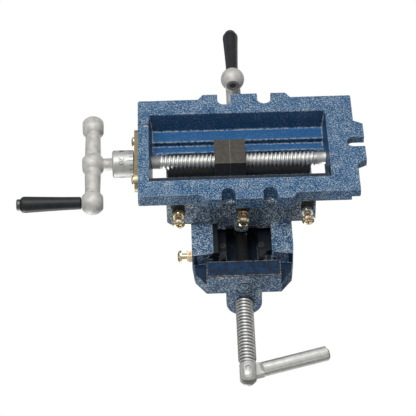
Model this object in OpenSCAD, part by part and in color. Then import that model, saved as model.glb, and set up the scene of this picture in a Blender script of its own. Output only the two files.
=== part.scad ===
// Cross slide vise, base down, +Z up. Origin: centre of the base outline on its bottom face.
// X runs along the base toward the lower crank, -Y points to the vise handle. Sizes in mm.

/* [Base] */
// Length of the base along X
base_len = 213; // [205:1:230]
// Depth of the base along Y
base_dep = 137; // [133:1:150]
// Height of the base flange
flange_h = 13; // [11:0.5:13.5]
// Width of the open mounting slots
slot_w = 13.4; // [11:0.1:15]
// Distance between the two slots on each long side
slot_gap = 40; // [34:1:50]
// How far the slot lands stand out from the long sides
land_out = 7; // [4:0.5:10]
// Length of the hollow under the base
hollow_len = 176; // [168:1:180]
// Width of the hollow under the base
hollow_dep = 95; // [88:1:96]
// Height of the top of the base ways
way_z = 33; // [32:0.5:34]

/* [Saddle] */
// Distance of the saddle centre from the base centre
sx = 8; // [4:0.5:12]
// Length of the saddle along X
saddle_len = 143.4; // [136:0.2:148]
// Depth of the saddle along Y
saddle_dep = 133.4; // [130:0.2:136]
// Height of the saddle's flat top
saddle_z = 41; // [40.5:0.1:42]
// Distance between the saddle gib screws
x_gib_pitch = 62; // [50:1:64]

/* [Vise body] */
// Width of the body and the jaws
body_w = 97.2; // [94:0.2:104]
// Position of the front face
front_y = -136; // [-142:1:-134]
// Position of the back face
back_y = 68.5; // [66:0.5:74]
// Half width of the slide mouth
mouth = 28; // [27:0.5:29]
// Height of the flat way tops
bed_z = 68.5; // [68:0.1:70]
// Height of the jaw tops
jaw_z = 100.5; // [96:0.5:110]
// Gap between the jaw plates at rest
jaw_gap = 60.3; // [60.3:0.1:64]
// Thickness of the jaw plates
plate_t = 8; // [6:0.5:10]
// Distance between the body gib screws
y_gib_pitch = 50; // [40:1:52]

/* [Screws] */
// Lead screw diameter over the thread
lead_d = 14; // [13:0.5:14.5]
// Lead screw journal diameter
shaft_d = 12; // [10:0.5:12.5]
// Height of the lower lead screw
x_axis_z = 21.2; // [20.8:0.1:21.6]
// Height of the upper lead screw
y_axis_z = 60.5; // [60.2:0.1:61]
// Vise screw diameter
vise_d = 17; // [15:0.5:17.5]
// Height of the vise screw
vise_z = 80.5; // [80:0.5:84]
// Position of the handle pin along Y
pin_y = -224; // [-230:1:-220]

/* [Cranks] */
// Distance from the shaft to the crank balls
crank_r = 47; // [40:0.5:47.5]
// Crank ball diameter
ball_d = 24; // [20:0.5:24.5]
// Thickness of the crank over its flats
crank_t = 20.5; // [16:0.5:21]
// Length of the grips
grip_len = 59; // [50:1:70]
// Dial diameter
dial_d = 27; // [24:0.5:27.4]
// Dial length
dial_len = 21; // [16:0.5:23]
// Angle of the lower crank at rest
x_crank_a = -8; // [-9:1:0]
// Angle of the upper crank at rest
y_crank_a = 87.6; // [85:0.1:90]

/* [Handle] */
// Handle bar diameter
bar_d = 14; // [11:0.5:14]
// Handle length from the pin
handle_len = 79; // [60:1:95]
// Angle of the handle from straight out at rest
fold_a = 106; // [90:1:108]

/* [Clearances] */
// Gap between faces that slide
slide_gap = 0.3; // [0.2:0.05:0.4]
// Radial gap of running shafts and threads
run_gap = 0.06; // [0.03:0.01:0.1]
// Gib strip thickness across its faces
gib_t = 4; // [3.5:0.1:4.2]

/* [Hidden] */
$fn = 64;
t30 = 0.57735;
blue = [0.27, 0.4, 0.58];
steel = [0.75, 0.75, 0.73];
gold = [0.8, 0.66, 0.4];
black = [0.16, 0.16, 0.16];
bx = base_len / 2;
by = base_dep / 2;
// lower dovetail on the base
neck_z = 20.5;
neck = 48.5;
way_half = neck + (way_z - neck_z) * t30;
// the front of the way is set back to leave room for the gib
neck_f = neck - 10;
way_f = neck_f + (way_z - neck_z) * t30;
ceil_z = 20;
step_z = 25.7;
slot_half = 18;
hollow_x0 = sx - hollow_len / 2;
hollow_x1 = sx + hollow_len / 2;
far_step = 8.5;
far_block = -98;
// gib width measured along the level
gib_h = gib_t / cos(30);
// saddle levels
skirt_z = flange_h + 1.2;
roof_z = way_z + slide_gap;
sf = saddle_dep / 2;
rail_z = saddle_z + slide_gap;
tail_z = saddle_z + 8.2;
tunnel_z = tail_z + slide_gap;
groove_z = 45.5;
groove_half = 15;
// vise body
hw = body_w / 2;
ledge_z = 54;
lip_z = 60;
bed_half = 22.3;
under_half = 28.5;
lug_y = front_y + 19;
lug_half = 35;
front_z = 66;
boss_r = 17;
nut_top = y_axis_z + lead_d / 2 + 2.6;
fixed_y = 24.3;
wall_y = 52;
mov_y = fixed_y - jaw_gap;
jaw_y1 = mov_y - plate_t;
jaw_len = 52;
jaw_y0 = jaw_y1 - jaw_len;
jaw_b = bed_z + slide_gap;
relief_z = nut_top + 0.9;
// gib screws
gs_r = 3;
x_gs_out = 16.8;
y_gs_out = 13.6;
x_gs_z = 26;
y_gs_z = 47.3;
y_gs_0 = -104;
// drive pieces, measured from the face the bearing plate sits on
bp_t = 4;
bp_half = 40;
bp_r = 10.3;
bp_screw = 27.5;
bp_off = 4;
collar_r = 9;
collar_t = 5;
dial_0 = bp_t + 0.5;
hub_0 = dial_0 + dial_len + 9.2;
hub_1 = hub_0 + crank_t;
grip_0 = hub_1 + 0.5;
grip_1 = grip_0 + grip_len;
sp_r = 3.5;
// turn of the dial set screws about their shaft
set_a = 206;
// jaw plate screws, from the middle of the jaw
plate_screw = hw * 0.617;

module along_x(x0, x1) {
    translate([x0, 0, 0])
        rotate([90, 0, 90])
            linear_extrude(x1 - x0)
                children();
}

module along_y(y0, y1) {
    translate([0, y1, 0])
        rotate([90, 0, 0])
            linear_extrude(y1 - y0)
                children();
}

module box(a, b) {
    translate(a)
        cube(b - a);
}

module rod_x(r, x0, x1) {
    translate([x0, 0, 0])
        rotate([0, 90, 0])
            cylinder(r = r, h = x1 - x0);
}

module rod_y(r, y0, y1) {
    translate([0, y0, 0])
        rotate([-90, 0, 0])
            cylinder(r = r, h = y1 - y0);
}

// turned shape along X: points are [radius, x]
module turned_x(p) {
    rotate([0, 90, 0])
        rotate_extrude()
            polygon(p);
}

// places a drive piece on the base end
module at_x() {
    translate([bx, 0, x_axis_z])
        children();
}

// places a drive piece on the back of the body
module at_y() {
    translate([sx, back_y, y_axis_z])
        rotate([0, 0, 90])
            children();
}

// pan head screw along -X from its seat at x = 0, head toward +X
module pan_screw(r, len) {
    difference() {
        union() {
            turned_x([[0, 0], [r * 2, 0], [r * 2, r * 0.5], [r * 1.6, r * 1.0],
                [r * 0.9, r * 1.2], [0, r * 1.2]]);
            rod_x(r, -len, 0.1);
        }
        box([r * 0.45, -r, -r * 0.17], [r * 2, r, r * 0.17]);
        box([r * 0.45, -r * 0.17, -r], [r * 2, r * 0.17, r]);
    }
}

// socket head screw along -X from its seat at x = 0, head toward +X
module cap_screw(r, head_r, head_h, len) {
    difference() {
        union() {
            rod_x(head_r, 0, head_h);
            rod_x(r, -len, 0.1);
        }
        translate([head_h * 0.4, 0, 0])
            rotate([0, 90, 0])
                cylinder(r = r * 0.95, h = head_h, $fn = 6);
    }
}

// the plate may lie off the middle of its shaft by off
module bearing_plate(off) {
    difference() {
        union() {
            box([0, off - bp_half + bp_r, -bp_r], [bp_t, off + bp_half - bp_r, bp_r]);
            for (s = [-1, 1])
                translate([0, off + s * (bp_half - bp_r), 0])
                    rod_x(bp_r, 0, bp_t);
        }
        rod_x(shaft_d / 2 + run_gap, -1, bp_t + 1);
        for (s = [-1, 1])
            translate([0, off + s * bp_screw, 0])
                rod_x(2.6, -1, bp_t + 1);
    }
}

module plate_screws(off) {
    for (s = [-1, 1])
        translate([bp_t, off + s * bp_screw, 0])
            rotate([s * 25, 0, 0])
                pan_screw(2.5, bp_t + 8);
}

// thread from x = t0 to t1, far end at x = far, all from the bearing plate face
module lead_screw(far, t0, t1) {
    s = shaft_d / 2;
    l = lead_d / 2;
    turned_x([[0, far], [s - 0.8, far], [s, far + 0.8], [s, t0], [l - 1.5, t0], [l, t0 + 1.5],
        [l, t1 - 1.5], [l - 1.5, t1], [s, t1], [s, -collar_t], [collar_r, -collar_t],
        [collar_r, -0.1], [s, -0.1], [s, hub_1 - 1], [s - 0.8, hub_1 - 0.2], [0, hub_1 - 0.2]]);
}

module dial() {
    s = shaft_d / 2 + 0.02;
    r = dial_d / 2;
    difference() {
        turned_x([[s, dial_0], [r - 0.5, dial_0], [r, dial_0 + 0.5], [r, dial_0 + dial_len - 1.2],
            [r - 1.2, dial_0 + dial_len], [s, dial_0 + dial_len]]);
        dial_hole(2.55, r + 2);
    }
}

// radial place of the dial set screw
module dial_hole(r, h) {
    translate([dial_0 + dial_len - 9.6, 0, 0])
        rotate([set_a, 0, 0])
            translate([0, 0, shaft_d / 2 + 0.05])
                cylinder(r = r, h = h);
}

module dial_set_screw() {
    difference() {
        dial_hole(2.5, dial_d / 2 - shaft_d / 2 - 2);
        translate([dial_0 + dial_len - 9.6, 0, 0])
            rotate([set_a, 0, 0])
                translate([0, 0, dial_d / 2 - 4])
                    cylinder(r = 1.4, h = 4, $fn = 6);
    }
}

module crank_arm(a) {
    xm = (hub_0 + hub_1) / 2;
    rotate([a, 0, 0])
        difference() {
            union() {
                for (y = [-crank_r, 0, crank_r])
                    intersection() {
                        translate([xm, y, 0])
                            sphere(d = ball_d);
                        box([hub_0, y - ball_d, -ball_d], [hub_1, y + ball_d, ball_d]);
                    }
                for (s = [0, 180])
                    translate([xm, 0, 0])
                        rotate([s + 90, 0, 0])
                            cylinder(r1 = ball_d * 0.34, r2 = ball_d * 0.3, h = crank_r);
            }
            rod_x(shaft_d / 2 + 0.02, hub_0 - 1, hub_1 + 1);
            translate([0, -crank_r, 0])
                rod_x(sp_r + 0.02, hub_0 - 1, hub_1 + 1);
            translate([xm, 0, -ball_d])
                cylinder(r = 2.52, h = ball_d * 2);
        }
}

// cross pin, cut where the shaft passes
module crank_pin(a) {
    xm = (hub_0 + hub_1) / 2;
    rotate([a, 0, 0])
        for (s = [0, 180])
            translate([xm, 0, 0])
                rotate([s, 0, 0])
                    translate([0, 0, shaft_d / 2 + 0.05])
                        cylinder(r = 2.5, h = ball_d / 2 - shaft_d / 2 - 0.1);
}

module grip_spindle(a) {
    rotate([a, 0, 0])
        translate([0, -crank_r, 0])
            turned_x([[0, hub_0 + 0.3], [2.8, hub_0 + 0.3], [sp_r, hub_0 + 1], [sp_r, grip_1 + 0.3],
                [5.6, grip_1 + 0.3], [5.6, grip_1 + 3], [4.6, grip_1 + 4], [0, grip_1 + 4]]);
}

module grip(a) {
    rotate([a, 0, 0])
        translate([0, -crank_r, 0])
            turned_x([[sp_r + run_gap, grip_0], [5.2, grip_0], [6.1, grip_0 + 0.9],
                [6.5, grip_0 + grip_len * 0.3], [7.3, grip_0 + grip_len * 0.65], [8, grip_1 - 5],
                [7.8, grip_1 - 2.2], [6.8, grip_1 - 0.6], [5.6, grip_1], [sp_r + run_gap, grip_1]]);
}

// open slot through the flange, round end at the origin, open toward +X
module open_slot() {
    translate([0, 0, -1])
        cylinder(d = slot_w, h = flange_h + 2);
    box([0, -slot_w / 2, -1], [30, slot_w / 2, flange_h + 1]);
}

module base_casting() {
    color(blue)
        difference() {
            union() {
                rounded_flange();
                for (s = [-1, 1])
                    linear_extrude(flange_h)
                        polygon([[-47, s * (by - 1)], [-41.5, s * (by + land_out)],
                            [41.5, s * (by + land_out)], [47, s * (by - 1)]]);
                linear_extrude(far_step)
                    polygon([[-bx + 1, -31], [-bx - 9, -26], [-bx - 9, 26], [-bx + 1, 31]]);
                along_x(far_block, bx)
                    polygon([[-neck_f, flange_h - 1], [-neck_f, neck_z], [-way_f, way_z],
                        [way_half, way_z], [neck, neck_z], [neck, flange_h - 1]]);
            }
            box([-bx - 20, -by - 1, far_step], [far_block, by + 1, way_z]);
            for (s = [-1, 1])
                for (x = [-slot_gap / 2, slot_gap / 2])
                    translate([x, s * (by - 1.5), 0])
                        rotate([0, 0, s * 90])
                            open_slot();
            translate([-bx + 1.7, 0, 0])
                rotate([0, 0, 180])
                    open_slot();
            base_hollow();
            translate([0, 0, x_axis_z])
                rod_x(shaft_d / 2 + run_gap, far_block + 4, bx + 1);
            translate([0, 0, x_axis_z])
                rod_x(collar_r + 0.3, bx - collar_t - 0.3, bx + 1);
            for (s = [-1, 1])
                translate([0, bp_off + s * bp_screw, x_axis_z])
                    rod_x(2.55, bx - 9, bx + 1);
            box([hollow_x1 - 1, 33.4, -1], [bx + 1, 34.6, 0.9]);
        }
}

module rounded_flange() {
    r = 1.8;
    box([-bx + r, -by, 0], [bx - r, by, flange_h]);
    box([-bx, -by + r, 0], [bx, by - r, flange_h]);
    for (x = [-bx + r, bx - r])
        for (y = [-by + r, by - r])
            translate([x, y, 0])
                cylinder(r = r, h = flange_h);
}

module base_hollow() {
    hd = hollow_dep / 2;
    intersection() {
        along_x(hollow_x0, hollow_x1)
            polygon([[-hd - 0.2, -1], [hd + 0.2, -1], [hd - 3.5, ceil_z], [5 - neck_f, ceil_z],
                [4 - neck_f, flange_h - 4.5], [1.2 - hd, flange_h - 5]]);
        along_y(-by, by)
            polygon([[hollow_x0, -1], [hollow_x1, -1], [hollow_x1 - 3, ceil_z], [hollow_x0 + 3, ceil_z]]);
    }
    box([hollow_x0 + 3, -28, ceil_z - 1], [hollow_x1 - 3, 28, step_z]);
    box([hollow_x0 + 3, -slot_half, step_z - 1], [hollow_x1 - 3, slot_half, way_z + 1]);
}

module x_bearing_plate() {
    color(gold)
        at_x()
            bearing_plate(bp_off);
}

module x_plate_screws() {
    color(gold)
        at_x()
            plate_screws(bp_off);
}

module x_lead_screw() {
    color(steel)
        at_x()
            lead_screw(far_block + 4.5 - bx, sx - 76 - bx, sx + 77 - bx);
}

module x_dial() {
    color(steel)
        at_x()
            dial();
}

module x_dial_set_screw() {
    color(black)
        at_x()
            dial_set_screw();
}

module x_crank_arm() {
    color(steel)
        at_x()
            crank_arm(x_crank_a);
}

module x_crank_pin() {
    color(steel)
        at_x()
            crank_pin(x_crank_a);
}

module x_grip_spindle() {
    color(steel)
        at_x()
            grip_spindle(x_crank_a);
}

module x_grip() {
    color(black)
        at_x()
            grip(x_crank_a);
}

// saddle: female dovetail below, male dovetail above, gib on the front and the crank side
module saddle() {
    g = slide_gap;
    x0 = sx - saddle_len / 2;
    x1 = sx + saddle_len / 2;
    o = 2 * g + gib_h;
    color(blue)
        union() {
            difference() {
                union() {
                    along_x(x0, x1)
                        polygon([[-sf, skirt_z], [-neck_f - g, skirt_z], [-neck_f - g, neck_z - g],
                            [-neck_f - o, neck_z - g], [-way_f - o, roof_z], [way_half + g, roof_z],
                            [neck + g, neck_z], [neck + g, skirt_z], [sf, skirt_z], [sf, saddle_z],
                            [-sf, saddle_z]]);
                    translate([sx, 0, 0])
                        along_y(-sf, sf)
                            polygon([[-tail_w(saddle_z - 1), saddle_z - 1], [-tail_w(tail_z), tail_z],
                                [tail_w(tail_z) - o + g, tail_z],
                                [tail_w(saddle_z - 1) - o + g, saddle_z - 1]]);
                }
                translate([sx, 0, 0])
                    box([-groove_half, -sf - 1, groove_z], [groove_half, sf + 1, tail_z + 1]);
                for (i = [-1, 0, 1])
                    translate([sx - 1.5 + i * x_gib_pitch, 0, x_gs_z])
                        rod_y(gs_r + run_gap, -sf - 1, -neck_f);
                translate([sx + 8.5, 0, 0])
                    nut_bolt_hole();
                for (y = [-10, 10])
                    translate([sx, y, 0])
                        y_bolt_hole();
                for (s = [-1, 1])
                    translate([sx + s * saddle_len / 2, 0, saddle_z])
                        rotate([0, 45, 0])
                            cube([5, saddle_dep + 2, 5], center = true);
            }
            translate([sx, 0, groove_z - 1])
                rod_y(6.8, -sf - 2.3, -sf + 6);
        }
}

// half width of the upper male dovetail at a height
function tail_w(z) = mouth + (z - rail_z) * t30 - slide_gap;

module nut_bolt_hole() {
    translate([0, 0, roof_z - 1])
        cylinder(r = 8.05, h = 4.2);
    translate([0, 0, roof_z])
        cylinder(r = 2.6, h = 20);
    translate([0, 0, groove_z - 5.2])
        cylinder(r = 4.4, h = 8);
}

module y_bolt_hole() {
    translate([0, 0, roof_z - 1])
        cylinder(r = 2.6, h = 30);
    translate([0, 0, roof_z - 1])
        cylinder(r = 4.4, h = 6.2);
}

module x_nut() {
    color(black)
        difference() {
            union() {
                translate([sx + 8.5, 0, 0])
                    box([-15.3, -slot_half + 1, x_axis_z - 13.2], [15.3, slot_half - 1, roof_z]);
                translate([sx + 8.5, 0, roof_z - 1])
                    cylinder(r = 8, h = 4);
            }
            translate([0, 0, x_axis_z])
                rod_x(lead_d / 2 + run_gap, -bx, bx);
            translate([sx + 8.5, 0, x_axis_z + lead_d / 2 + 1.2])
                cylinder(r = 2.55, h = 20);
        }
}

module x_nut_bolt() {
    color(black)
        translate([sx + 8.5, 0, groove_z - 5.2])
            rotate([0, -90, 0])
                cap_screw(2.5, 4.2, 5, groove_z - 5.2 - x_axis_z - lead_d / 2 - 1.5);
}

module x_gib() {
    z0 = neck_z + 0.2;
    z1 = way_z - 0.2;
    color(steel)
        along_x(sx - saddle_len / 2 + 0.5, sx + saddle_len / 2 - 0.5)
            polygon([[-gib_in(z0), z0], [-gib_in(z1), z1], [-gib_in(z1) - gib_h, z1],
                [-gib_in(z0) - gib_h, z0]]);
}

// distance of the inner gib face from the middle of the base at a height
function gib_in(z) = neck_f + (z - neck_z) * t30 + slide_gap;

// one gib screw along X: the casting face is at x = 0, the tip at x = -deep, the head ends at x = out
module gib_screw(deep, out) {
    translate([out - gs_r * 1.2, 0, 0])
        pan_screw(gs_r, out - gs_r * 1.2 + deep - 2);
    translate([-deep, 0, 0])
        rotate([0, 90, 0])
            cylinder(r1 = 1, r2 = gs_r, h = 2.01);
}

module gib_locknut() {
    difference() {
        rotate([0, 90, 0])
            intersection() {
                cylinder(r = 6, h = 5, $fn = 6);
                cylinder(r1 = 7.3, r2 = 5.3, h = 5.6);
            }
        rod_x(gs_r + run_gap, -1, 6);
    }
}

module x_gib_places() {
    for (i = [-1, 0, 1])
        translate([sx - 1.5 + i * x_gib_pitch, -sf, x_gs_z])
            rotate([0, 0, -90])
                rotate([40 + 25 * i, 0, 0])
                    children();
}

module x_gib_screws() {
    color(gold)
        x_gib_places()
            gib_screw(sf - gib_in(x_gs_z) - gib_h - 0.9, x_gs_out);
}

module x_gib_locknuts() {
    color(gold)
        x_gib_places()
            gib_locknut();
}

module y_gib_places() {
    for (i = [0 : 3])
        translate([sx + hw, y_gs_0 + i * y_gib_pitch, y_gs_z])
            rotate([20 + 30 * i, 0, 0])
                children();
}

module y_gib_screws() {
    color(gold)
        y_gib_places()
            gib_screw(hw - mouth - (y_gs_z - rail_z) * t30 - 1.2, y_gs_out);
}

module y_gib_locknuts() {
    color(gold)
        y_gib_places()
            gib_locknut();
}

module y_gib() {
    z0 = rail_z + 0.3;
    z1 = tail_z - 0.2;
    color(steel)
        translate([sx, 0, 0])
            along_y(y_gs_0 - 1.5, back_y - 1)
                polygon([[tail_w(z0) - gib_h, z0], [tail_w(z1) - gib_h, z1], [tail_w(z1), z1],
                    [tail_w(z0), z0]]);
}

module y_nut() {
    color(black)
        difference() {
            translate([sx, 0, 0])
                box([-groove_half + 0.4, -15, groove_z], [groove_half - 0.4, 15, nut_top]);
            translate([sx, 0, y_axis_z])
                rod_y(lead_d / 2 + run_gap, -20, 20);
            for (y = [-10, 10])
                translate([sx, y, groove_z - 1])
                    cylinder(r = 2.55, h = 7.5);
        }
}

module y_nut_bolts() {
    color(black)
        for (y = [-10, 10])
            translate([sx, y, roof_z + 5.2])
                rotate([0, 90, 0])
                    cap_screw(2.5, 4.2, 5, groove_z + 6 - roof_z - 5.2);
}

module body_plan() {
    polygon([[-hw, back_y], [-hw, -100], [2.6 - hw, -122], [-lug_half - 0.5, front_y],
        [lug_half + 0.5, front_y], [hw - 2.6, -122], [hw, -100], [hw, back_y]]);
}

module vise_body() {
    color(blue)
        translate([sx, 0, 0])
            difference() {
                union() {
                    translate([0, 0, ledge_z])
                        linear_extrude(front_z - ledge_z)
                            body_plan();
                    intersection() {
                        translate([0, 0, rail_z])
                            linear_extrude(bed_z - rail_z)
                                body_plan();
                        union() {
                            box([-hw, lug_y, front_z - 1], [hw, back_y, bed_z]);
                            translate([0, 0, rail_z])
                                linear_extrude(ledge_z - rail_z + 1)
                                    polygon([[-hw, back_y], [-hw, -110], [-mouth, -106], [mouth, -106],
                                        [hw, -110], [hw, back_y]]);
                        }
                    }
                    box([-lug_half, front_y, rail_z + 0.7], [lug_half, lug_y, front_z]);
                    box([-boss_r, front_y, front_z - 1], [boss_r, lug_y, vise_z]);
                    translate([0, 0, vise_z])
                        rod_y(boss_r, front_y, lug_y);
                    fixed_jaw();
                }
                along_y(lug_y, back_y + 1)
                    polygon([[-mouth + 0.6, rail_z - 1.04], [-tail_w(tunnel_z) - slide_gap, tunnel_z],
                        [tail_w(tunnel_z) + slide_gap, tunnel_z], [mouth - 0.6, rail_z - 1.04]]);
                box([-under_half, lug_y, tunnel_z - 0.5], [under_half, wall_y, lip_z]);
                box([-bed_half, lug_y, lip_z - 1], [bed_half, fixed_y, bed_z + 1]);
                box([-groove_half - 0.4, fixed_y - 1, lip_z - 1], [groove_half + 0.4, wall_y, relief_z]);
                translate([0, 0, y_axis_z]) {
                    rod_y(shaft_d / 2 + run_gap, front_y + 3, back_y + 1);
                    rod_y(collar_r + 0.3, back_y - collar_t - 0.3, back_y + 1);
                    difference() {
                        rod_y(shaft_d / 2 + 2, front_y - 1, front_y + 0.8);
                        rod_y(shaft_d / 2 + 0.5, front_y - 2, front_y + 2);
                    }
                    for (s = [-1, 1])
                        translate([s * bp_screw, 0, 0])
                            rod_y(2.55, back_y - 9, back_y + 1);
                }
                translate([0, 0, vise_z])
                    rod_y(vise_d / 2 + run_gap, front_y - 1, lug_y + 1);
                for (i = [0 : 3])
                    translate([0, y_gs_0 + i * y_gib_pitch, y_gs_z])
                        rod_x(gs_r + run_gap, mouth, hw + 1);
                for (s = [-1, 1])
                    translate([s * plate_screw, 0, (bed_z + jaw_z) / 2])
                        rod_y(3.05, fixed_y, fixed_y + plate_t + 14);
            }
}

module fixed_jaw() {
    y0 = fixed_y + plate_t;
    intersection() {
        rotate([90, 0, 90])
            translate([0, 0, -hw])
                linear_extrude(body_w)
                    polygon([[y0, bed_z - 1], [y0, jaw_z], [y0 + 18, jaw_z], [back_y, bed_z + 10],
                        [back_y, bed_z - 1]]);
        along_y(y0 - 1, back_y + 1)
            polygon([[-hw, bed_z - 2], [-hw, jaw_z - 3], [3 - hw, jaw_z], [hw - 3, jaw_z],
                [hw, jaw_z - 3], [hw, bed_z - 2]]);
    }
}

module y_bearing_plate() {
    color(gold)
        at_y()
            bearing_plate(0);
}

module y_plate_screws() {
    color(gold)
        at_y()
            plate_screws(0);
}

module y_lead_screw() {
    color(steel)
        at_y()
            lead_screw(front_y + 3.5 - back_y, -64 - back_y, 46 - back_y);
}

module y_dial() {
    color(steel)
        at_y()
            dial();
}

module y_dial_set_screw() {
    color(black)
        at_y()
            dial_set_screw();
}

module y_crank_arm() {
    color(steel)
        at_y()
            crank_arm(y_crank_a);
}

module y_crank_pin() {
    color(steel)
        at_y()
            crank_pin(y_crank_a);
}

module y_grip_spindle() {
    color(steel)
        at_y()
            grip_spindle(y_crank_a);
}

module y_grip() {
    color(black)
        at_y()
            grip(y_crank_a);
}

// jaw plate with its back on the plane y = 0, face toward -Y
module jaw_plate() {
    difference() {
        box([-hw, -plate_t, relief_z], [hw, 0, jaw_z]);
        for (s = [-1, 1])
            translate([s * plate_screw, 0, (bed_z + jaw_z) / 2]) {
                rod_y(3.05, -plate_t - 1, 1);
                rod_y(5.2, -plate_t - 1, 0.3 - plate_t + 5);
            }
    }
}

module jaw_plate_screws() {
    for (s = [-1, 1])
        translate([s * plate_screw, 0.3 - plate_t + 5, (bed_z + jaw_z) / 2])
            rotate([0, 0, -90])
                cap_screw(3, 5, 4.6, plate_t - 5.3 + 12);
}

module fixed_jaw_plate() {
    color(steel)
        translate([sx, fixed_y + plate_t, 0])
            jaw_plate();
}

module fixed_plate_screws() {
    color(black)
        translate([sx, fixed_y + plate_t, 0])
            jaw_plate_screws();
}

// the movable plate has one upright and one level V groove for round work
module movable_jaw_plate() {
    color(steel)
        translate([sx, jaw_y1, 0])
            rotate([0, 0, 180])
                difference() {
                    jaw_plate();
                    translate([0, -plate_t, 0])
                        rotate([0, 0, 45])
                            box([-2.2, -2.2, 0], [2.2, 2.2, jaw_z + 1]);
                    translate([0, -plate_t, jaw_z - plate_t * 0.75])
                        rotate([45, 0, 0])
                            box([-hw - 1, -1.6, -1.6], [hw + 1, 1.6, 1.6]);
                }
}

module movable_plate_screws() {
    color(black)
        translate([sx, jaw_y1, 0])
            rotate([0, 0, 180])
                jaw_plate_screws();
}

module movable_jaw() {
    tail_y = jaw_y1 - 26;
    color(blue)
        translate([sx, 0, 0])
            difference() {
                union() {
                    along_y(tail_y, jaw_y1)
                        polygon([[-hw, jaw_b], [-hw, jaw_z - 3], [3 - hw, jaw_z], [hw - 3, jaw_z],
                            [hw, jaw_z - 3], [hw, jaw_b]]);
                    jaw_tail(tail_y);
                    translate([0, 0, vise_z])
                        rod_y(boss_r - 1, jaw_y0, jaw_y1 - 4);
                    for (s = [-1, 1])
                        rib(s);
                }
                box([-groove_half - 0.3, jaw_y0 - 1, lip_z], [groove_half + 0.3, jaw_y1 + 1, relief_z]);
                translate([0, 0, vise_z])
                    rod_y(shaft_d / 2 + run_gap, jaw_y0 - 1, jaw_y0 + 18);
                for (s = [-1, 1])
                    translate([s * plate_screw, 0, (bed_z + jaw_z) / 2])
                        rod_y(3.05, jaw_y1 - 14, jaw_y1 + 1);
                for (s = [-1, 1])
                    translate([s * 10.8, 0, vise_z + 5])
                        rod_y(2.05, jaw_y0 - 1, jaw_y0 + 8);
                for (s = [-1, 1])
                    for (y = [jaw_y0 + 12, jaw_y1 - 12])
                        translate([s * 18.6, y, lip_z - 2])
                            cylinder(r = 2.05, h = 9.5);
            }
}

// narrow part of the jaw between its face block and the screw
module jaw_tail(tail_y) {
    translate([0, 0, jaw_b])
        linear_extrude(vise_z - jaw_b)
            polygon([[-20, jaw_y0], [20, jaw_y0], [hw - 8, tail_y + 1], [8 - hw, tail_y + 1]]);
}

// guide rib in the bed slot
module rib(s) {
    a = groove_half + 0.3;
    b = bed_half - slide_gap;
    box([s > 0 ? a : -b, jaw_y0 + 4, lip_z], [s > 0 ? b : -a, jaw_y1 - 4, jaw_b + 1]);
}

module keeper(s) {
    a = groove_half + 0.3;
    b = under_half - 0.5;
    translate([sx, 0, 0])
        difference() {
            box([s > 0 ? a : -b, jaw_y0 + 4, ledge_z + 0.3], [s > 0 ? b : -a, jaw_y1 - 4, lip_z - slide_gap]);
            for (y = [jaw_y0 + 12, jaw_y1 - 12])
                translate([s * 18.6, y, ledge_z]) {
                    cylinder(r = 2.1, h = 9);
                    cylinder(r = 3.2, h = 2.8);
                }
        }
}

module left_keeper() {
    color(steel)
        keeper(-1);
}

module right_keeper() {
    color(steel)
        keeper(1);
}

module keeper_screws() {
    color(black)
        for (s = [-1, 1])
            for (y = [jaw_y0 + 12, jaw_y1 - 12])
                translate([sx + s * 18.6, y, ledge_z + 2.8])
                    rotate([0, 90, 0])
                        cap_screw(2, 3.1, 2.4, 9.5);
}

// forked plate that holds the screw nose in the jaw
module screw_retainer() {
    color(steel)
        translate([sx, jaw_y0 - 0.1, vise_z])
            difference() {
                box([-14.5, -3, -9], [14.5, 0, 10]);
                rod_y(4.6, -4, 1);
                box([-4.6, -4, -20], [4.6, 1, 0]);
                for (s = [-1, 1])
                    translate([s * 10.8, 0, 5]) {
                        rod_y(2.1, -4, 1);
                        rod_y(3.3, -4, -1.2);
                    }
            }
}

module retainer_screws() {
    color(black)
        for (s = [-1, 1])
            translate([sx + s * 10.8, jaw_y0 - 1.3, vise_z + 5])
                rotate([0, 0, -90])
                    cap_screw(2, 3.1, 1.6, 8);
}

module vise_screw() {
    r = vise_d / 2;
    n = jaw_y0 - 3.4;
    color(steel)
        translate([sx, 0, vise_z])
            difference() {
                rotate([0, 0, 90])
                    turned_x([[0, pin_y - 11], [r - 3, pin_y - 11], [r, pin_y - 7], [r, n - 1.5],
                        [r - 1.5, n], [4.5, n], [4.5, n + 3.6], [shaft_d / 2, n + 3.6],
                        [shaft_d / 2, jaw_y0 + 16], [0, jaw_y0 + 16]]);
                box([-r - 1, pin_y - 20, -3.5], [r + 1, pin_y + 15, 3.5]);
                translate([0, pin_y, -r - 1])
                    cylinder(r = 2.52, h = 2 * r + 2);
            }
}

module handle_pin() {
    color(steel)
        translate([sx, pin_y, vise_z])
            turned_z([[0, 0.3 - vise_d / 2], [1.9, 0.3 - vise_d / 2], [2.5, 1 - vise_d / 2],
                [2.5, vise_d / 2 - 1], [1.9, vise_d / 2 - 0.3], [0, vise_d / 2 - 0.3]]);
}

module turned_z(p) {
    rotate_extrude()
        polygon(p);
}

// handle at rest points to -X and a little back
module folding_handle() {
    b = bar_d / 2;
    color(steel)
        translate([sx, pin_y, vise_z])
            rotate([0, 0, 270 - fold_a])
                difference() {
                    union() {
                        translate([0, 0, -3.2])
                            cylinder(r = b, h = 6.4);
                        box([0, -b, -3.2], [14, b, 3.2]);
                        turned_x([[0, 13], [b - 1.5, 13], [b, 14.5], [b, handle_len - 2], [b - 2, handle_len],
                            [0, handle_len]]);
                    }
                    translate([0, 0, -5])
                        cylinder(r = 2.5 + run_gap, h = 10);
                }
}

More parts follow.
